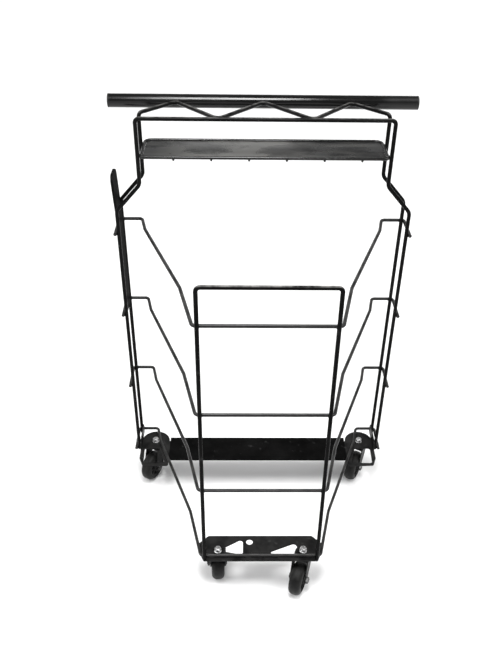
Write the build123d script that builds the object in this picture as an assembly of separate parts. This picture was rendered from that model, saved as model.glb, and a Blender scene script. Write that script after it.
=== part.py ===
"""Tray trolley: a welded wire frame with three tray rests, a small shelf, a push handle and four castors.

Millimetres. +X right, +Y towards the handle, +Z up. The origin is on the floor, in the middle of the box.
"""

import os
from math import atan, cos, radians, sin

from build123d import *

os.makedirs("parts", exist_ok=True)

# Wires, sheet and welds
hoop_d = 8.0
rest_d = 7.0
ring_d = 6.5
cross_d = 4.0
plate_t = 2.5
weld = 0.4  # how far welded pieces sink into each other

# Levels above the floor
castor_height = 100.0  # to the underside of the castor plates
base_z = castor_height + plate_t + rest_d / 2 - weld
rest_pitch = 200.0
nose_top_z = base_z + 681.0
joggle_low_z = base_z + 650.5
joggle_high_z = base_z + 707.5
rear_drop = 3.5  # how far the bends of the rear hoop's legs lie below those of the front hoop
shelf_z = base_z + 768.0
hoop_top_z = base_z + 841.0

# Legs
nose_x = 120.7
nose_y = -236.8
leg_x = 296.5
neck_x = 246.3  # legs above the joggle
front_leg_y = nose_y + 340.7
rear_leg_y = nose_y + 400.6
joggle_r = 18.0
hoop_corner_r = 8.0
nose_corner_r = 8.0

# Truss at the top of the rear hoop, which leans down to the handle
truss_lean = 6.2  # degrees
truss_depth = 148.5  # corner to corner, along the lean
truss_half_pitch = 90.0
truss_bend_r = 10.0

# Handle
handle_d = 28.0
handle_wall = 1.5
handle_length = 640.0
cap_t = 3.0
cap_shank = 16.0
cap_play = 0.05
cap_round = 1.2

# Tray rests, seen from above: corners of the right half
rest_side_x = leg_x + (hoop_d + rest_d) / 2 - weld
rest_end_y = front_leg_y - 6.7
rest_run_y = rear_leg_y + (hoop_d + rest_d) / 2 - weld
rest_hook = (255.5, rest_run_y)
rest_knee = (244.7, nose_y + 358.9)
rest_elbow = (157.8, nose_y + 129.6)
rest_nose = (129.0, nose_y + (hoop_d + rest_d) / 2 - weld)
rest_radii = [6.5, 9.0, 30.0, 40.0, 9.0]

# Shelf
shelf_front_y = front_leg_y - 8.5
shelf_rear_y = rear_leg_y + 24.6
shelf_front_r = 8.0
shelf_rear_r = 14.0
shelf_half_x = neck_x - (hoop_d + ring_d) / 2 + weld
cross_count = 6
cross_pitch = 73.0
cross_shift = 6.0  # the row of cross wires stands a little to the right
cross_lip = 0.5  # how far the cross wires pass the middle of the ring's wire
panel_t = 2.5
panel_gap = 0.15  # between the panel's edge and the ring's wire

# Castor plates, which lie under the base rest
front_bolt = (92.5, nose_y + 21.7)
rear_bolt = (257.7, nose_y + 363.5)
bolt_hole_r = 4.25
front_edge = (122.5, nose_y - 4.5)
front_shoulder = (134.0, nose_y + 20.0)
front_plate_rear_y = nose_y + 62.0
front_chamfer = 20.0
plate_corner_r = 6.0
front_corner_r = 3.0
eye_r = 7.5
eye_at = (-23.8, nose_y + 45.4)
# Each cut-out of the front plate runs round three circles: X, distance behind the nose legs, radius
front_cutouts = [
    [(-79.5, 24.5, 4.5), (-44.2, 44.0, 6.0), (-44.7, 18.5, 6.5)],
    [(27.0, 16.5, 4.5), (72.0, 32.0, 8.0), (75.0, 20.0, 6.5)],
]
rear_inner_x = 221.0
rear_front_y = nose_y + 277.0
rear_toe = (284.0, nose_y + 279.0)
rear_heel_y = nose_y + 303.0
rear_lobe_r = 35.0
rear_flange_x = leg_x - hoop_d / 2 + weld
rear_flange_y = (nose_y + 330.0, nose_y + 405.0)
rear_flange_h = 26.0
rear_flange_r = 8.0
# Corners of the rear window, whose inner side runs along the base rest
window = [(244.5, 338.5), (283.5, 338.5), (282.0, 286.0), (230.0, 287.5)]
window_r = 6.0
bar_y = (nose_y + 297.0, nose_y + 376.0)

# Left side plate, between the two left legs
side_t = 5.0
side_gap = 0.4  # between the plate and the side runs of the tray rests
side_low_z = base_z + 2 * rest_pitch
side_bend_z = base_z + 620.0
side_high_z = base_z + 722.0
side_lean = 5.0  # how far its free end leans out at the top
side_corner_r = 14.0

# Castor heads: a bolt through the plate, an upper race and the fork's dome under it
king_r = 4.0
king_head_r = 7.0
king_head_h = 6.0
king_tip = 2.4  # bolt showing above its nut
king_chamfer = 0.8
washer_r = 8.0
washer_t = 1.6
nut_across = 13.0
nut_h = 6.5
nut_chamfer = 0.8
play = 0.05
race_r = 17.5
race_t = 2.8
race_lip = 1.8
race_drop = 6.5
race_round = 3.0
bearing_gap = 0.8
dome_r = 15.0
dome_h = 3.5
dome_taper = 30.0  # degrees

# Forks
wheel_d = 75.0
wheel_w = 28.0
trail = 22.0
fork_gap = 32.0  # between the legs of the fork
fork_t = 2.0
fork_top_z = castor_height - race_t - bearing_gap - dome_h
fork_crown_y = (-18.0, 18.0)
fork_crown_t = 3.0
fork_crown_r = 18.5
fork_boss_r = 10.0
fork_bend_r = 5.0
head_gap = 0.4  # between the bolt's head and the fork

# Wheels
axle_r = 4.0
axle_head_r = 7.0
axle_head_h = 2.8
axle_head_round = 1.8
axle_nut_h = 5.0
axle_tip = 1.0
bush_r = 6.0
hub_r = 10.5
hub_play = 0.3
rim_r = 26.0
rim_w = 24.0
rim_wall = 3.5
web_t = 5.0
rib_count = 8
rib_t = 2.0
rib_w = 20.0
tyre_round = 11.0

# Each castor's swivel bolt, and how far it stands turned from trailing straight behind
castors = {
    "front_left": (-front_bolt[0], front_bolt[1], 4.0),
    "front_right": (front_bolt[0], front_bolt[1], 158.0),
    "rear_left": (-rear_bolt[0], rear_bolt[1], 152.0),
    "rear_right": (rear_bolt[0], rear_bolt[1], 152.0),
}


def save(name, *solids):
    """Writes one node, of one solid or of several separate ones."""
    shape = solids[0] if len(solids) == 1 else Compound(children=list(solids))
    export_step(shape, f"parts/{name}.step")


def mirrored(points):
    """The points of the right half, then the same on the left in reverse."""
    return points + [(-x, *rest) for x, *rest in reversed(points)]


def bent_wire(points, radii, d):
    """A round wire with straight runs and a tangent arc at each corner."""
    path = FilletPolyline(*points, radius=radii)
    start = Plane(origin=path @ 0, z_dir=path % 0)
    return sweep(start * Circle(d / 2), path=path)


def leg_points(y, drop=0.0):
    """The right leg of a hoop from the foot to above its joggle."""
    return [(leg_x, y, castor_height), (leg_x, y, joggle_low_z - drop), (neck_x, y, joggle_high_z - drop)]


def front_hoop():
    half = leg_points(front_leg_y) + [(neck_x, front_leg_y, hoop_top_z)]
    half_radii = [joggle_r, joggle_r, hoop_corner_r]
    return bent_wire(mirrored(half), half_radii + half_radii[::-1], hoop_d)


# The truss: where its bends lie along the lean, counted from the front hoop's top wire
truss_half_angle = atan(truss_half_pitch / truss_depth)
truss_start_y = front_leg_y + hoop_d - weld


def bend_cut(one_run, other_run):
    """How far a bend stops short of its corner, between two runs at these angles to the lean."""
    return truss_bend_r * (cos((one_run - other_run) / 2) / sin((one_run + other_run) / 2) - 1)


truss_cut = bend_cut(truss_half_angle, truss_half_angle)
handle_reach = truss_depth - 2 * truss_cut + (hoop_d + handle_d) / 2 - weld


def on_truss(x, along, drop=0.0):
    """A point of the leaning truss plane, or one below it."""
    lean = radians(truss_lean)
    return (x, truss_start_y + along * cos(lean), hoop_top_z - along * sin(lean) - drop)


handle_y, handle_z = on_truss(0, handle_reach)[1:]


def rear_hoop():
    corner_along = (rear_leg_y - truss_start_y) / cos(radians(truss_lean))
    peak = truss_depth - truss_cut
    end_run = atan((neck_x - 2 * truss_half_pitch) / (peak - corner_along))
    end_peak = truss_depth - 2 * truss_cut + bend_cut(truss_half_angle, end_run)
    half = leg_points(rear_leg_y, rear_drop) + [
        on_truss(neck_x, corner_along, rear_drop),
        on_truss(2 * truss_half_pitch, end_peak),
        on_truss(truss_half_pitch, -truss_cut),
    ]
    half_radii = [joggle_r, joggle_r, hoop_corner_r, truss_bend_r, truss_bend_r]
    points = half + [on_truss(0, peak)] + mirrored(half)[len(half):]
    return bent_wire(points, half_radii + [truss_bend_r] + half_radii[::-1], hoop_d)


def nose_hoop():
    """An upside-down U that stands on the front plate."""
    foot_z = castor_height + plate_t - weld
    half = [(nose_x, nose_y, foot_z), (nose_x, nose_y, nose_top_z)]
    return bent_wire(mirrored(half), [nose_corner_r] * 2, hoop_d)


def tray_rest(z):
    """One flat bent wire: round the nose, along both sides and hooked round the rear legs."""
    corners = [(rest_side_x, rest_end_y), (rest_side_x, rest_run_y)]
    corners += [rest_hook, rest_knee, rest_elbow, rest_nose]
    half = [(x, y, z) for x, y in corners]
    return bent_wire(mirrored(half), rest_radii + rest_radii[::-1], rest_d)


def shelf_ring():
    half = [(shelf_half_x, shelf_front_y, shelf_z), (shelf_half_x, shelf_rear_y, shelf_z)]
    radii = [shelf_front_r, shelf_rear_r, shelf_rear_r, shelf_front_r]
    path = FilletPolyline(*mirrored(half), radius=radii, close=True)
    start = Plane(origin=path @ 0, z_dir=path % 0)
    return sweep(start * Circle(ring_d / 2), path=path)


def shelf_cross_wires():
    z = shelf_z - (ring_d + cross_d) / 2 + weld
    start_y = shelf_front_y - cross_lip
    length = shelf_rear_y + cross_lip - start_y
    wires = []
    for index in range(cross_count):
        x = (index - (cross_count - 1) / 2) * cross_pitch + cross_shift
        wires.append(extrude(Plane((x, start_y, z), z_dir=(0, 1, 0)) * Circle(cross_d / 2), length))
    return wires


def shelf_panel():
    """The sheet that lies on the cross wires inside the ring."""
    inset = ring_d / 2 + panel_gap
    width = 2 * (shelf_half_x - inset)
    depth = shelf_rear_y - shelf_front_y - 2 * inset
    z = shelf_z - ring_d / 2 + weld
    outline = Pos(0, (shelf_front_y + shelf_rear_y) / 2) * Rectangle(width, depth)
    outline = fillet(outline.vertices().group_by(Axis.Y)[0], shelf_front_r - inset)
    outline = fillet(outline.vertices().group_by(Axis.Y)[-1], shelf_rear_r - inset)
    return extrude(Pos(0, 0, z) * outline, panel_t)


def handle_tube():
    length = handle_length - 2 * cap_t
    middle = Plane((-length / 2, handle_y, handle_z), z_dir=(1, 0, 0))
    section = Circle(handle_d / 2) - Circle(handle_d / 2 - handle_wall)
    return extrude(middle * section, length)


def handle_cap(side):
    """A plug with a rounded head and a shank inside the tube."""
    inner_end = Plane((side * (handle_length / 2 - cap_t), handle_y, handle_z), z_dir=(side, 0, 0))
    head = extrude(inner_end * Circle(handle_d / 2), cap_t)
    head = fillet(head.faces().sort_by(Axis.X)[-1 if side > 0 else 0].edges(), cap_round)
    shank = extrude(inner_end * Circle(handle_d / 2 - handle_wall - cap_play), -cap_shank)
    return head + shank


def cutout(rounds):
    """A cut-out whose outline runs round three circles."""
    circles = [Pos(x, nose_y + y) * Circle(r) for x, y, r in rounds]
    return make_hull([edge for circle in circles for edge in circle.edges()])


def front_castor_plate():
    """A plate under the base rest and the nose legs, with two large cut-outs and one round eye."""
    side_x = front_shoulder[0]
    half = [
        front_edge,
        front_shoulder,
        (side_x, front_plate_rear_y - front_chamfer),
        (side_x - front_chamfer, front_plate_rear_y),
    ]
    outline = make_face(Polyline(*mirrored(half), close=True))
    outline = fillet(outline.vertices().group_by(Axis.Y)[-1], plate_corner_r)
    outline = fillet(outline.vertices().group_by(Axis.Y)[0], front_corner_r)
    for rounds in front_cutouts:
        outline -= cutout(rounds)
    outline -= Pos(*eye_at) * Circle(eye_r)
    for side in (-1, 1):
        outline -= Pos(side * front_bolt[0], front_bolt[1]) * Circle(bolt_hole_r)
    return extrude(Pos(0, 0, castor_height) * outline, plate_t)


def rear_castor_plate():
    """The right plate: a lobe round the castor bolt, a window, and a side turned up along the legs."""
    body = make_face(
        Polyline(
            (rear_inner_x, rear_front_y),
            rear_toe,
            (rear_flange_x, rear_heel_y),
            (rear_flange_x, rear_bolt[1]),
            (rear_inner_x, rear_bolt[1]),
            close=True,
        )
    )
    body = fillet(body.vertices().sort_by(Axis.Y)[:2], plate_corner_r)
    outline = body + Pos(*rear_bolt) * Circle(rear_lobe_r)
    opening = make_face(Polyline(*[(x, nose_y + y) for x, y in window], close=True))
    outline -= fillet(opening.vertices(), window_r)
    outline -= Pos(*rear_bolt) * Circle(bolt_hole_r)
    lobe_end_y = rear_bolt[1] + rear_lobe_r
    outline &= Pos(rear_inner_x, rear_front_y) * Rectangle(
        rear_flange_x - rear_inner_x, lobe_end_y - rear_front_y, align=(Align.MIN, Align.MIN)
    )
    plate = extrude(Pos(0, 0, castor_height) * outline, plate_t)
    flange = Pos(rear_flange_x, rear_flange_y[0], castor_height) * Box(
        plate_t,
        rear_flange_y[1] - rear_flange_y[0],
        rear_flange_h,
        align=(Align.MAX, Align.MIN, Align.MIN),
    )
    return plate + fillet(flange.edges().filter_by(Axis.X).group_by(Axis.Z)[-1], rear_flange_r)


def rear_cross_bar():
    width = bar_y[1] - bar_y[0]
    return Pos(0, sum(bar_y) / 2, castor_height) * Box(
        2 * rear_inner_x, width, plate_t, align=(Align.CENTER, Align.CENTER, Align.MIN)
    )


def left_side_plate():
    """A flat strip welded edgewise between the two left legs, whose free end above them leans out."""
    front = front_leg_y + hoop_d / 2 - weld
    rear = rear_leg_y - hoop_d / 2 + weld
    height = side_high_z - side_low_z
    outline = Rectangle(rear - front, height)
    outline = fillet(outline.vertices().sort_by(Axis.Y)[-2:], side_corner_r)
    outer_x = rest_side_x - rest_d / 2 - side_gap
    wall = Plane((-outer_x, (front + rear) / 2, side_low_z + height / 2), (0, 1, 0), (1, 0, 0))
    outer = [(-outer_x, side_low_z), (-outer_x, side_bend_z), (-outer_x - side_lean, side_high_z)]
    inner = [(x + side_t, z) for x, z in reversed(outer)]
    edge_on = make_face(Polyline(*outer, *inner, close=True))
    bent = extrude(Plane((0, rear, 0), (1, 0, 0), (0, -1, 0)) * edge_on, rear - front)
    return bent & extrude(wall * outline, side_t + side_lean, both=True)


def ring(outer, inner, low, high):
    """A flat ring about the upright axis."""
    return extrude(Pos(0, 0, low) * (Circle(outer) - Circle(inner)), high - low)


def hexagon(across, low, high, hole=0.0):
    """A six-sided nut about the upright axis, with its corners turned off."""
    section = RegularPolygon(across / 2, 6, major_radius=False)
    if hole:
        section -= Circle(hole)
    corner_r = across / 2 / cos(radians(30))
    turned = extrude(Pos(0, 0, low) * Circle(corner_r), high - low)
    turned = chamfer(turned.edges().filter_by(GeomType.CIRCLE), nut_chamfer)
    return extrude(Pos(0, 0, low) * section, high - low) & turned


nut_low_z = castor_height + plate_t + washer_t
king_end_z = nut_low_z + nut_h + king_tip
king_head_z = fork_top_z - fork_crown_t - head_gap


def king_bolt():
    """The swivel bolt, its head inside the fork."""
    head = extrude(Pos(0, 0, king_head_z) * Circle(king_head_r), -king_head_h)
    shank = extrude(Pos(0, 0, king_head_z) * Circle(king_r), king_end_z - king_head_z)
    return head + chamfer(shank.edges().group_by(Axis.Z)[-1], king_chamfer)


def washer():
    return ring(washer_r, king_r + play, nut_low_z - washer_t, nut_low_z)


def king_nut():
    return hexagon(nut_across, nut_low_z, nut_low_z + nut_h, king_r + play)


def spun(face):
    """Turns a half section, drawn as radius and height, about the upright axis."""
    return revolve(Plane.XZ * face, Axis.Z)


def race():
    """The upper race, a pressed cup with its lip turned down over the dome of the fork."""
    top = castor_height
    half = Polyline(
        (king_r + play, top),
        (race_r, top),
        (race_r, top - race_drop),
        (race_r - race_lip, top - race_drop),
        (race_r - race_lip, top - race_t),
        (king_r + play, top - race_t),
        close=True,
    )
    section = make_face(half)
    shoulder = section.vertices().sort_by(Axis.X)[-2:].sort_by(Axis.Y)[-1]
    return spun(fillet(shoulder, race_round))


def fork():
    """A folded sheet: a U section cut to the side outline, with a round crown and a dome on top."""
    outer_w = fork_gap + 2 * fork_t
    axle_z = wheel_d / 2
    section = Rectangle(outer_w, fork_top_z, align=(Align.CENTER, Align.MIN))
    section = fillet(section.vertices().sort_by(Axis.Y)[-2:], fork_bend_r)
    inner = Rectangle(fork_gap, fork_top_z - fork_crown_t, align=(Align.CENTER, Align.MIN))
    inner = fillet(inner.vertices().sort_by(Axis.Y)[-2:], fork_bend_r - fork_t)
    across = Plane((0, 0, 0), (1, 0, 0), (0, -1, 0))
    folded = extrude(across * (section - inner), wheel_d, both=True)
    crown = Pos(sum(fork_crown_y) / 2, fork_top_z) * Rectangle(
        fork_crown_y[1] - fork_crown_y[0], 2 * fork_bend_r, align=(Align.CENTER, Align.MAX)
    )
    boss = Pos(trail, axle_z) * Circle(fork_boss_r)
    side = make_hull(crown.edges() + boss.edges()) - Pos(trail, axle_z) * Circle(axle_r + play)
    lengthwise = Plane((0, 0, 0), (0, 1, 0), (1, 0, 0))
    folded &= extrude(lengthwise * side, outer_w, both=True)
    disc = extrude(Pos(0, 0, fork_top_z) * Circle(fork_crown_r), -fork_crown_t)
    dome = extrude(Pos(0, 0, fork_top_z) * Circle(dome_r), dome_h, taper=dome_taper)
    bore = extrude(Circle(king_r + play), castor_height)
    return folded + disc + dome - bore


def on_axle(shape):
    """Lays a shape made about the upright axis on the wheel's axle."""
    return Pos(0, trail, wheel_d / 2) * Rot(0, 90, 0) * shape


fork_outer = fork_gap / 2 + fork_t


def axle():
    """A shaft with a low round head on one side and a short end for its nut on the other."""
    tip = fork_outer + axle_nut_h + axle_tip
    shaft = extrude(Pos(0, 0, -tip) * Circle(axle_r), tip + fork_outer)
    head = extrude(Pos(0, 0, fork_outer) * Circle(axle_head_r), axle_head_h)
    head = fillet(head.edges().group_by(Axis.Z)[-1], axle_head_round)
    return on_axle(shaft + head)


def axle_nut():
    return on_axle(hexagon(nut_across, -fork_outer - axle_nut_h, -fork_outer, axle_r + play))


def bush():
    return on_axle(ring(bush_r, axle_r + play, -fork_gap / 2, fork_gap / 2))


def core():
    """The moulded core: a hub longer than the rim is wide, a web, and ribs on both sides of it."""
    bore = bush_r + play
    hub_w = fork_gap / 2 - hub_play
    rim_in = rim_r - rim_wall
    half = [
        (bore, hub_w),
        (hub_r, hub_w),
        (hub_r, web_t / 2),
        (rim_in, web_t / 2),
        (rim_in, rim_w / 2),
        (rim_r, rim_w / 2),
    ]
    shape = spun(make_face(Polyline(*half, *[(r, -a) for r, a in reversed(half)], close=True)))
    rib_length = (rim_r + rim_in - hub_r - bore) / 2
    rib = Pos((rim_r + rim_in + hub_r + bore) / 4, 0) * Box(rib_length, rib_t, rib_w)
    for index in range(rib_count):
        shape += Rot(0, 0, index * 360 / rib_count) * rib
    return on_axle(shape)


def tyre():
    """The tyre, with a round shoulder on each side of its tread."""
    thickness = wheel_d / 2 - rim_r
    section = Pos(rim_r + thickness / 2, 0) * Rectangle(thickness, wheel_w)
    section = fillet(section.vertices().group_by(Axis.X)[-1], tyre_round)
    return on_axle(spun(section))


save("front_hoop", front_hoop())
save("rear_hoop", rear_hoop())
save("nose_hoop", nose_hoop())
for level, name in enumerate(("bottom", "middle", "top")):
    save(f"tray_rest_{name}", tray_rest(base_z + (level + 1) * rest_pitch))
save("base_rest", tray_rest(base_z))
save("shelf_ring", shelf_ring())
save("shelf_cross_wires", *shelf_cross_wires())
save("shelf_panel", shelf_panel())
save("handle_tube", handle_tube())
save("handle_cap_left", handle_cap(-1))
save("handle_cap_right", handle_cap(1))
save("front_castor_plate", front_castor_plate())
save("rear_castor_plate_right", rear_castor_plate())
save("rear_castor_plate_left", mirror(rear_castor_plate(), about=Plane.YZ))
save("rear_cross_bar", rear_cross_bar())
save("left_side_plate", left_side_plate())

# Fasteners: each kind is one node of four separate solids
fasteners = {
    "castor_bolts": king_bolt(),
    "castor_washers": washer(),
    "castor_nuts": king_nut(),
}
for name, piece in fasteners.items():
    save(name, *[Pos(x, y, 0) * piece for x, y, turn in castors.values()])

# The other castor pieces: one node each, turned with their castor
castor_pieces = {
    "race": race(),
    "fork": fork(),
    "axle": axle(),
    "axle_nut": axle_nut(),
    "bush": bush(),
    "core": core(),
    "tyre": tyre(),
}
for castor, (x, y, turn) in castors.items():
    for name, piece in castor_pieces.items():
        save(f"{name}_{castor}", Pos(x, y, 0) * Rot(0, 0, turn) * piece)
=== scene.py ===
"""The look of the tray trolley: coatings, metals, rubber, weld beads, floor, light and camera."""

from collections import namedtuple
from math import cos, pi, radians, sin

import bmesh
import bpy
from mathutils import Matrix, Vector, noise


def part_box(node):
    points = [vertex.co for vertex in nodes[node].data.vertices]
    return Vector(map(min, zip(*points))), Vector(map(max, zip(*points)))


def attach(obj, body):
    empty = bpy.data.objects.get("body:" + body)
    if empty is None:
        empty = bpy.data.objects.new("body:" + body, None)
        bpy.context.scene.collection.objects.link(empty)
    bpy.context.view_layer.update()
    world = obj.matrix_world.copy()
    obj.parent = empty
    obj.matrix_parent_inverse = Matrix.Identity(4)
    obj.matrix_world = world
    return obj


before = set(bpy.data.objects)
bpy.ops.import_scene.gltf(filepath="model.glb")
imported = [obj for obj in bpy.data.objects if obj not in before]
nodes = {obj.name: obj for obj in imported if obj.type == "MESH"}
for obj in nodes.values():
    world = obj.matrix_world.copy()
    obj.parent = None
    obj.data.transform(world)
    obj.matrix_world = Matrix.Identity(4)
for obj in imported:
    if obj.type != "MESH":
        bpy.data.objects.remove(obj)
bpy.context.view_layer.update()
castor_names = ("front_left", "front_right", "rear_left", "rear_right")
rest_names = ("base_rest", "tray_rest_bottom", "tray_rest_middle", "tray_rest_top")

# Radii of the wires, in metres, and how far they sink into each other where they are welded
hoop_r = 0.004
rest_r = 0.0035
ring_r = 0.00325
cross_r = 0.002
sink = 0.0004

# Directions that weld beads follow and stand out in
to_right = (1, 0, 0)
to_back = (0, 1, 0)
to_top = (0, 0, 1)

# Half sizes of a weld bead, in metres: along the seam, across it, and outwards
BeadSize = namedtuple("BeadSize", "length width height")


class Look:
    """One procedural material, with short calls for the shader nodes that it is made of."""

    def __init__(self, name):
        self.material = bpy.data.materials.new(name)
        self.material.use_nodes = True
        self.tree = self.material.node_tree
        self.shader = self.tree.nodes["Principled BSDF"]
        self.place = self.tree.nodes.new("ShaderNodeTexCoord")

    def add(self, kind, **settings):
        node = self.tree.nodes.new("ShaderNode" + kind)
        for name, value in settings.items():
            setattr(node, name, value)
        return node

    def put(self, socket, value):
        """Links a socket to another one, or sets it to a value."""
        if isinstance(value, bpy.types.NodeSocket):
            self.tree.links.new(value, socket)
        else:
            socket.default_value = value

    def set(self, **values):
        """Sets inputs of the shader, named with _ for a space."""
        for name, value in values.items():
            self.put(self.shader.inputs[name.replace("_", " ")], value)

    def noise(self, scale, detail, stretch=(1.0, 1.0, 1.0)):
        """Noise in the object's own space, with features of about 1 / scale metres."""
        mapping = self.add("Mapping")
        mapping.inputs["Scale"].default_value = stretch
        self.put(mapping.inputs["Vector"], self.place.outputs["Object"])
        texture = self.add("TexNoise")
        self.put(texture.inputs["Vector"], mapping.outputs["Vector"])
        self.put(texture.inputs["Scale"], scale)
        self.put(texture.inputs["Detail"], detail)
        return texture.outputs["Fac"]

    def step(self, value, low, high, to_low=0.0, to_high=1.0):
        """Maps a value from low..high to to_low..to_high, smoothly."""
        node = self.add("MapRange", interpolation_type="SMOOTHSTEP")
        self.put(node.inputs["Value"], value)
        self.put(node.inputs["From Min"], low)
        self.put(node.inputs["From Max"], high)
        self.put(node.inputs["To Min"], to_low)
        self.put(node.inputs["To Max"], to_high)
        return node.outputs["Result"]

    def spots(self, scale, detail, low, high, stretch=(1.0, 1.0, 1.0)):
        """A mask of noise: 0 where it is under low, and 1 where it is over high."""
        return self.step(self.noise(scale, detail, stretch), low, high)

    def times(self, one, other):
        node = self.add("Math", operation="MULTIPLY")
        self.put(node.inputs[0], one)
        self.put(node.inputs[1], other)
        return node.outputs[0]

    def mix(self, factor, one, other):
        """Mixes two colours, each of them a grey value, a colour or a socket."""
        node = self.add("Mix", data_type="RGBA")
        self.put(node.inputs["Factor"], factor)
        colour_sockets = [socket for socket in node.inputs if socket.type == "RGBA"]
        for socket, value in zip(colour_sockets, (one, other)):
            if isinstance(value, float):
                value = (value, value, value)
            if isinstance(value, tuple):
                value = (*value, 1.0)
            self.put(socket, value)
        return [socket for socket in node.outputs if socket.type == "RGBA"][0]

    def cover(self, colour, mask, other, share):
        """Covers a colour with a share of another where the mask is 1."""
        return self.mix(self.times(mask, share), colour, other)

    def cloudy_colour(self, cloud, dark, light, span=(0.35, 0.7)):
        """A colour that drifts from dark to light as the cloud's noise rises through the span."""
        return self.mix(self.step(cloud, *span), dark, light)

    def cloudy_roughness(self, cloud, smooth, dull, span=(0.3, 0.75)):
        """A roughness that drifts from smooth to dull in the same way."""
        return self.step(cloud, *span, smooth, dull)

    def part(self, output, axis):
        """One axis of a position or a normal in the object's own space."""
        split = self.add("SeparateXYZ")
        self.put(split.inputs[0], self.place.outputs[output])
        return split.outputs[axis]

    def bump(self, height, depth, strength):
        """A bump whose full height is depth metres."""
        node = self.add("Bump")
        self.put(node.inputs["Height"], height)
        self.put(node.inputs["Distance"], depth)
        self.put(node.inputs["Strength"], strength)
        self.put(self.shader.inputs["Normal"], node.outputs["Normal"])

    def grain(self, scale, detail, depth, strength):
        """A bump of fine noise."""
        self.bump(self.noise(scale, detail), depth, strength)


def orange_peel(look):
    """The fine shallow dimples of a powder coating."""
    look.grain(scale=900.0, detail=2.0, depth=0.00003, strength=0.6)


def coated_steel(name, dark, light, smooth, specular, wear_and_highlight):
    """Black powder coating: fine orange peel, cloudy gloss, rubbed patches, and upper sides greyed partly
    by wear and partly by a painted highlight.
    """
    dull = smooth + 0.12
    look = Look(name)
    cloud = look.noise(scale=14.0, detail=3.0)
    rubbed = look.spots(scale=70.0, detail=6.0, low=0.62, high=0.74)
    # Upper sides made lighter: partly rubbed wear, partly a painted highlight standing in for light from
    # above.
    upward = look.step(look.part("Normal", "Z"), low=0.55, high=1.0)
    worn_and_highlit_tops = look.times(upward, look.spots(scale=45.0, detail=5.0, low=0.3, high=0.65))
    colour = look.cloudy_colour(cloud, dark, light)
    colour = look.cover(colour, rubbed, other=0.06, share=0.25)
    # Covers the upper sides with the grey of wear and painted highlight.
    colour = look.cover(colour, worn_and_highlit_tops, other=(0.25, 0.245, 0.237), share=wear_and_highlight)
    look.set(Base_Color=colour, Roughness=look.cloudy_roughness(cloud, smooth, dull))
    look.set(Specular_IOR_Level=specular)
    orange_peel(look)
    return look.material


def scraped_coat():
    """The left side plate: matt black coating, scraped along its height, mostly on its outer side."""
    look = Look("strip_coat")
    cloud = look.noise(scale=16.0, detail=4.0)
    outer = look.step(look.part("Normal", "X"), low=-0.9, high=-0.3, to_low=1.0, to_high=0.1)
    patch = look.spots(scale=12.0, detail=3.0, low=0.4, high=0.6)
    scrape = look.spots(scale=240.0, detail=5.0, low=0.5, high=0.68, stretch=(1.0, 1.0, 0.05))
    colour = look.cloudy_colour(cloud, dark=0.002, light=0.008)
    colour = look.cover(colour, look.times(scrape, patch), other=0.09, share=outer)
    look.set(Base_Color=colour, Roughness=look.cloudy_roughness(cloud, smooth=0.42, dull=0.6))
    look.set(Specular_IOR_Level=0.003)
    orange_peel(look)
    return look.material


def gloss_coat():
    """The handle: glossy black, with fine scratches along it and hand marks that dull it."""
    look = Look("handle_gloss")
    hands = look.noise(scale=9.0, detail=4.0, stretch=(1.0, 2.5, 2.5))
    scratch = look.spots(scale=160.0, detail=3.0, low=0.66, high=0.78, stretch=(0.05, 6.0, 6.0))
    colour = look.cloudy_colour(hands, dark=0.001, light=0.003, span=(0.4, 0.7))
    colour = look.cover(colour, scratch, other=0.09, share=0.3)
    look.set(Base_Color=colour, Specular_IOR_Level=0.34)
    look.set(Roughness=look.cloudy_roughness(hands, smooth=0.14, dull=0.28, span=(0.35, 0.75)))
    look.grain(scale=500.0, detail=2.0, depth=0.00002, strength=0.5)
    return look.material


def shelf_sheet():
    """The shelf panel: smooth dark plastic with wiped streaks, scuffs and a painted reflection that
    lightens it left of the middle.
    """
    reflection_fade_in = (-0.23, -0.12)  # where the painted reflection fades in across the shelf, and below where it fades out
    reflection_fade_out = (0.02, 0.12)
    look = Look("shelf_sheet")
    across = look.part("Object", "X")
    painted_reflection = look.times(look.step(across, *reflection_fade_in), look.step(across, *reflection_fade_out, to_low=1.0, to_high=0.0))
    wiped = look.noise(scale=13.0, detail=3.0, stretch=(1.0, 1.6, 1.0))
    reflection_share = look.step(wiped, low=0.4, high=0.6, to_low=0.15, to_high=0.9)
    streak = look.spots(scale=60.0, detail=4.0, low=0.45, high=0.7, stretch=(0.12, 1.0, 1.0))
    scuff = look.spots(scale=120.0, detail=5.0, low=0.66, high=0.8, stretch=(0.15, 1.0, 1.0))
    colour = look.cloudy_colour(wiped, dark=0.009, light=0.023)
    # Painted reflection: a lighter patch left of the middle, standing in for the lamp's glare on the glossy
    # panel.
    colour = look.cover(colour, painted_reflection, other=(0.08, 0.079, 0.075), share=reflection_share)
    colour = look.cover(colour, streak, other=(0.05, 0.049, 0.046), share=0.5)
    colour = look.cover(colour, scuff, other=0.11, share=0.4)
    look.set(Base_Color=colour, Roughness=look.cloudy_roughness(wiped, smooth=0.2, dull=0.36))
    look.grain(scale=350.0, detail=3.0, depth=0.00003, strength=0.5)
    return look.material


def thread(look, pitch):
    """The ridges of a bolt's thread, as a bump along Z."""
    bands_per_metre = 10 / pi  # of a wave texture whose scale is 1
    wave = look.add("TexWave", wave_type="BANDS", bands_direction="Z", wave_profile="TRI")
    look.put(wave.inputs["Vector"], look.place.outputs["Object"])
    look.put(wave.inputs["Scale"], 1 / (bands_per_metre * pitch))
    look.bump(wave.outputs["Fac"], depth=0.0005, strength=1.0)


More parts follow.
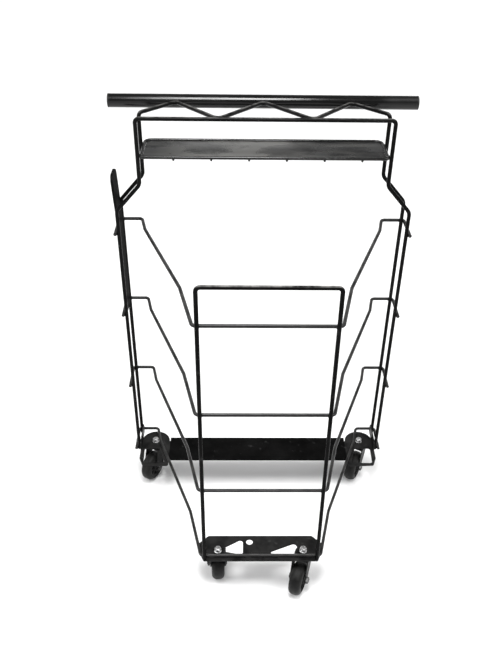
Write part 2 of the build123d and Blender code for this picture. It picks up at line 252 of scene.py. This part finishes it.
def plated_steel(name, dark, light, pitch=0.0):
    """Zinc plating with faint cloudy grains, and a thread's ridges where a pitch is given."""
    look = Look(name)
    cloud = look.noise(scale=180.0, detail=4.0)
    look.set(Base_Color=look.cloudy_colour(cloud, dark, light), Metallic=1.0)
    look.set(Roughness=look.cloudy_roughness(cloud, smooth=0.24, dull=0.46))
    if pitch:
        thread(look, pitch)
    else:
        look.grain(scale=1200.0, detail=2.0, depth=0.00002, strength=0.4)
    return look.material


def plastic(name, dark, light, smooth):
    """Moulded plastic with a fine pebble and a faintly cloudy gloss."""
    dull = smooth + 0.1
    look = Look(name)
    cloud = look.noise(scale=60.0, detail=3.0)
    look.set(Base_Color=look.cloudy_colour(cloud, dark, light), Specular_IOR_Level=0.3)
    look.set(Roughness=look.cloudy_roughness(cloud, smooth, dull, span=(0.3, 0.7)))
    look.grain(scale=1500.0, detail=2.0, depth=0.00004, strength=0.5)
    return look.material


def rubber():
    """Black tyre rubber with dusty blotches, fine grit and small dark specks."""
    look = Look("tyre_rubber")
    cloud = look.noise(scale=55.0, detail=5.0)
    speck = look.spots(scale=420.0, detail=3.0, low=0.64, high=0.74)
    colour = look.cloudy_colour(cloud, dark=0.005, light=(0.013, 0.0128, 0.0122))
    colour = look.cover(colour, speck, other=0.003, share=0.5)
    look.set(Base_Color=colour, Roughness=look.cloudy_roughness(cloud, smooth=0.4, dull=0.6))
    look.set(Specular_IOR_Level=0.13)
    look.grain(scale=800.0, detail=4.0, depth=0.0001, strength=0.6)
    return look.material


def paint(names, material):
    """Gives these CAD nodes one material."""
    for name in names:
        mesh = nodes[name].data
        mesh.materials.clear()
        mesh.materials.append(material)


def paint_wires(wire_coat):
    paint(["front_hoop", "rear_hoop"], wire_coat)
    # The nose hoop's large share lightens the upper side of its top wire: rubbed wear and a painted
    # highlight.
    nose_coat = coated_steel("nose_coat", dark=0.002, light=0.005, smooth=0.22, specular=0.025, wear_and_highlight=0.65)
    paint(["nose_hoop"], nose_coat)
    rest_coat = coated_steel("rest_coat", dark=0.002, light=0.005, smooth=0.3, specular=0.32, wear_and_highlight=0.1)
    paint(rest_names, rest_coat)
    ring_coat = coated_steel("ring_coat", dark=0.003, light=0.006, smooth=0.16, specular=0.3, wear_and_highlight=0.04)
    paint(["shelf_ring", "shelf_cross_wires"], ring_coat)


def paint_plates():
    plate_coat = coated_steel("plate_coat", dark=0.004, light=0.009, smooth=0.4, specular=0.12, wear_and_highlight=0.04)
    paint(["front_castor_plate", "rear_castor_plate_left", "rear_castor_plate_right"], plate_coat)
    bar_coat = coated_steel("bar_coat", dark=0.001, light=0.003, smooth=0.6, specular=0.03, wear_and_highlight=0.006)
    paint(["rear_cross_bar"], bar_coat)
    paint(["left_side_plate"], scraped_coat())


def paint_shelf_and_handle():
    paint(["shelf_panel"], shelf_sheet())
    paint(["handle_tube"], gloss_coat())
    cap_plastic = plastic("cap_plastic", dark=0.006, light=0.012, smooth=0.45)
    paint(["handle_cap_left", "handle_cap_right"], cap_plastic)


def of_castors(*pieces):
    """The nodes of these pieces on all four castors."""
    return [f"{piece}_{castor}" for piece in pieces for castor in castor_names]


def paint_castors():
    paint(["castor_bolts"], plated_steel("bolt_zinc", dark=0.55, light=0.75, pitch=0.00125))
    paint(["castor_washers", "castor_nuts"], plated_steel("nut_zinc", dark=0.7, light=0.9))
    paint(of_castors("axle", "axle_nut", "bush"), plated_steel("axle_zinc", dark=0.05, light=0.11))
    fork_coat = coated_steel("fork_coat", dark=0.005, light=0.01, smooth=0.38, specular=0.1, wear_and_highlight=0.05)
    paint(of_castors("race", "fork"), fork_coat)
    paint(of_castors("core"), plastic("core_plastic", dark=0.014, light=0.024, smooth=0.42))
    paint(of_castors("tyre"), rubber())


class Beads:
    """Weld beads, gathered in one mesh: rippled drops that fill the corner between two welded pieces."""

    ripple_pitch = 0.0016
    ripple_share = 0.07
    lump_share = 0.16
    lump_scale = 1.7
    lump_shift = 90  # how fast the lumps change from bead to bead, per metre

    def __init__(self):
        self.mesh = bmesh.new()

    def add(self, place, along, out, size):
        """One bead, long in one direction and standing out in another."""
        place = Vector(place)
        along = Vector(along).normalized()
        side = along.cross(Vector(out)).normalized()
        out = side.cross(along)
        drop = bmesh.ops.create_icosphere(self.mesh, subdivisions=2, radius=1.0)
        for vertex in drop["verts"]:
            x, y, z = vertex.co
            ripple = self.ripple_share * sin(2 * pi * x * size.length / self.ripple_pitch)
            lump = noise.noise(vertex.co * self.lump_scale + place * self.lump_shift)
            uneven = 1 + ripple + self.lump_share * lump
            around = side * (y * size.width) + out * (z * size.height)
            vertex.co = place + along * (x * size.length) + around * uneven

    def both(self, place, along, out, size):
        """The same bead on the right and on the left."""
        for flip in (1, -1):
            mirror = Vector((flip, 1, 1))
            directions = [Vector(vector) * mirror for vector in (place, along, out)]
            self.add(*directions, size)

    def finish(self, material):
        bmesh.ops.recalc_face_normals(self.mesh, faces=self.mesh.faces)
        mesh = bpy.data.meshes.new("weld_beads")
        self.mesh.to_mesh(mesh)
        self.mesh.free()
        mesh.shade_smooth()
        mesh.materials.append(material)
        beads = bpy.data.objects.new("weld_beads", mesh)
        bpy.context.scene.collection.objects.link(beads)
        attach(beads, "frame")


class Legs:
    """Where the middles of the legs stand, read from the boxes of the wires."""

    def __init__(self):
        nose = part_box("nose_hoop")
        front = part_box("front_hoop")
        self.nose_x = nose[1].x - hoop_r
        self.nose_y = nose[1].y - hoop_r
        self.x = front[1].x - hoop_r
        self.front_y = front[1].y - hoop_r
        self.rear_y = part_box("base_rest")[1].y - 2 * rest_r - hoop_r + sink
        self.top_z = front[1].z - hoop_r


def weld_rests(beads, legs):
    """Where each tray rest crosses the legs: behind the nose and rear legs, outside the front legs."""
    size = BeadSize(length=0.005, width=0.005, height=0.0024)
    for name in rest_names:
        low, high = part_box(name)
        level = (low.z + high.z) / 2
        beads.both((legs.nose_x, low.y, level), to_right, to_back, size)
        beads.both((legs.x, high.y - 2 * rest_r, level), to_right, to_back, size)
        beads.both((high.x - 2 * rest_r, legs.front_y, level), to_back, to_right, size)


def weld_shelf(beads, legs):
    """Where the ring meets the four legs, and where the cross wires meet the ring."""
    leg_size = BeadSize(length=0.0048, width=0.0048, height=0.0022)
    wire_size = BeadSize(length=0.0028, width=0.0026, height=0.0011)
    wire_count = 6
    low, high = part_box("shelf_ring")
    level = (low.z + high.z) / 2
    for y in (legs.front_y, legs.rear_y):
        beads.both((high.x, y, level), to_back, to_right, leg_size)
    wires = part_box("shelf_cross_wires")
    first_x = wires[0].x + cross_r
    pitch = (wires[1].x - cross_r - first_x) / (wire_count - 1)
    for index in range(wire_count):
        for y in (low.y + ring_r, high.y - ring_r):
            beads.add((first_x + index * pitch, y, low.z), to_right, to_top, wire_size)


def weld_truss(beads, legs):
    """Where the truss touches the front hoop's top wire, and where its peaks touch the handle."""
    trough_size = BeadSize(length=0.011, width=0.003, height=0.0034)
    peak_size = BeadSize(length=0.01, width=0.003, height=0.0036)
    half_pitch = 0.09
    lean = radians(6.2)
    groove_y = legs.front_y + hoop_r - sink / 2
    beads.both((half_pitch, groove_y, legs.top_z), to_right, to_top, trough_size)
    low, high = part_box("handle_tube")
    handle_r = (high.z - low.z) / 2
    peak_y = (low.y + high.y) / 2 - handle_r * cos(lean)
    peak_z = (low.z + high.z) / 2 + handle_r * sin(lean)
    off_truss = (0, sin(lean), cos(lean))
    for x in (-2 * half_pitch, 0, 2 * half_pitch):
        beads.add((x, peak_y, peak_z), to_right, off_truss, peak_size)


def weld_front_plate(beads, legs):
    """Seams on both sides of the base rest, and one behind the foot of each nose leg."""
    seam_size = BeadSize(length=0.009, width=0.0016, height=0.0018)
    foot_size = BeadSize(length=0.0045, width=0.002, height=0.002)
    seam_places = (-0.105, -0.03, 0.0, 0.03, 0.105)
    seam_inset = 0.0005
    seam_rise = 0.0006
    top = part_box("front_castor_plate")[1].z
    rest_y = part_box("base_rest")[0].y + rest_r
    for x in seam_places:
        for side in (-1, 1):
            place = (x, rest_y + side * (rest_r - seam_inset), top + seam_rise)
            beads.add(place, to_right, (0, side, 1), seam_size)
    beads.both((legs.nose_x, legs.nose_y + hoop_r, top), to_right, (0, 1, 1), foot_size)


def weld_rear_plates(beads, legs):
    """Upright seams on both sides of each leg, along the upturned side of its plate."""
    size = BeadSize(length=0.008, width=0.0014, height=0.0016)
    off_leg = 0.0024
    rise = 0.014
    low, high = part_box("rear_castor_plate_right")
    for y in (legs.front_y, legs.rear_y):
        for side in (-1, 1):
            beads.both((high.x, y + side * off_leg, low.z + rise), to_top, (1, side, 0), size)


def weld_side_plate(beads):
    """Stitches down both edges of the left side plate, up to the legs' joggle."""
    size = BeadSize(length=0.01, width=0.0015, height=0.0012)
    thickness = 0.005
    count = 4
    first = 0.02
    pitch = 0.066
    low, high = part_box("left_side_plate")
    for index in range(count):
        for y in (low.y, high.y):
            for x in (high.x - thickness, high.x):
                beads.add((x, y, low.z + first + index * pitch), to_top, to_right, size)


def welds(material):
    beads = Beads()
    legs = Legs()
    weld_rests(beads, legs)
    weld_shelf(beads, legs)
    weld_truss(beads, legs)
    weld_front_plate(beads, legs)
    weld_rear_plates(beads, legs)
    weld_side_plate(beads)
    beads.finish(material)


def floor():
    """A plain pale floor, as wide as any view needs."""
    half = 14.0
    mesh = bpy.data.meshes.new("floor")
    corners = [(-half, -half, 0.0), (half, -half, 0.0), (half, half, 0.0), (-half, half, 0.0)]
    mesh.from_pydata(corners, [], [(0, 1, 2, 3)])
    ground = bpy.data.objects.new("floor", mesh)
    bpy.context.scene.collection.objects.link(ground)
    look = Look("pale_floor")
    look.set(Base_Color=look.mix(look.noise(scale=3.0, detail=3.0), 0.88, 0.92))
    look.set(Roughness=0.8, Specular_IOR_Level=0.1)
    mesh.materials.append(look.material)


def hang(name, light, place, aim):
    """Puts a light at a place and points it at another."""
    lamp = bpy.data.objects.new(name, light)
    lamp.location = place
    lamp.rotation_euler = (Vector(aim) - Vector(place)).to_track_quat("-Z", "Y").to_euler()
    bpy.context.scene.collection.objects.link(lamp)


def wide_light(name, place, aim, strength, spread):
    """Even light from one direction, softened over a wide angle."""
    light = bpy.data.lights.new(name, "SUN")
    light.energy = strength
    light.angle = spread
    hang(name, light, place, aim)


def soft_box(name, place, aim, width, height, watts):
    light = bpy.data.lights.new(name, "AREA")
    light.shape = "RECTANGLE"
    light.size = width
    light.size_y = height
    light.energy = watts
    hang(name, light, place, aim)


def backdrop():
    """White all round where it meets the floor, and grey above."""
    white_up_to = radians(6)
    grey_from = radians(15)
    white = 1.0
    grey = 0.3
    world = bpy.data.worlds.new("studio")
    world.use_nodes = True
    tree = world.node_tree
    place = tree.nodes.new("ShaderNodeTexCoord")
    split = tree.nodes.new("ShaderNodeSeparateXYZ")
    tree.links.new(place.outputs["Generated"], split.inputs[0])
    fade = tree.nodes.new("ShaderNodeMapRange")
    fade.interpolation_type = "SMOOTHSTEP"
    fade.inputs["From Min"].default_value = sin(white_up_to)
    fade.inputs["From Max"].default_value = sin(grey_from)
    fade.inputs["To Min"].default_value = white
    fade.inputs["To Max"].default_value = grey
    tree.links.new(split.outputs["Z"], fade.inputs["Value"])
    tree.links.new(fade.outputs["Result"], tree.nodes["Background"].inputs["Strength"])
    tree.nodes["Background"].inputs["Color"].default_value = (1.0, 1.0, 1.0, 1.0)
    return world


def studio():
    """Wide light from both sides that whitens the floor, and two soft boxes for the gloss."""
    scene = bpy.context.scene
    scene.view_settings.view_transform = "Standard"
    scene.world = backdrop()
    origin = (0.0, 0.0, 0.0)
    for name, side in (("left_light", -1), ("right_light", 1)):
        wide_light(name, place=(side * 2.0, -0.5, 2.4), aim=origin, strength=1.75, spread=radians(50))
    handle = (0.0, 0.25, 0.93)
    shelf = (0.0, 0.15, 0.87)
    soft_box("handle_box", place=(-0.09, -0.6, 2.5), aim=handle, width=0.6, height=0.9, watts=50.0)
    soft_box("shelf_box", place=(-0.06, 2.4, 1.75), aim=shelf, width=0.55, height=0.6, watts=1.0)


def camera():
    """The photograph's viewpoint, found from the straight wires of the trolley."""
    place = (-0.0510, -1.2724, 1.4285)
    yaw = radians(-1.129)
    pitch = radians(34.643)
    roll = radians(0.861)
    level_right = Vector((cos(yaw), sin(yaw), 0.0))
    level_ahead = Vector((-sin(yaw), cos(yaw), 0.0))
    upright = Vector((0.0, 0.0, 1.0))
    ahead = cos(pitch) * level_ahead - sin(pitch) * upright
    above = sin(pitch) * level_ahead + cos(pitch) * upright
    right = cos(roll) * level_right + sin(roll) * above
    up = cos(roll) * above - sin(roll) * level_right
    data = bpy.data.cameras.new("photo_camera")
    data.sensor_width = 36.0
    data.lens = 41.45
    eye = bpy.data.objects.new("photo_camera", data)
    turn = Matrix((right, up, -ahead)).transposed().to_4x4()
    eye.matrix_world = Matrix.Translation(place) @ turn
    bpy.context.scene.collection.objects.link(eye)
    bpy.context.scene.camera = eye


wire_coat = coated_steel("wire_coat", dark=0.002, light=0.005, smooth=0.22, specular=0.05, wear_and_highlight=0.3)
paint_wires(wire_coat)
paint_plates()
paint_shelf_and_handle()
paint_castors()
welds(wire_coat)
floor()
studio()
camera()
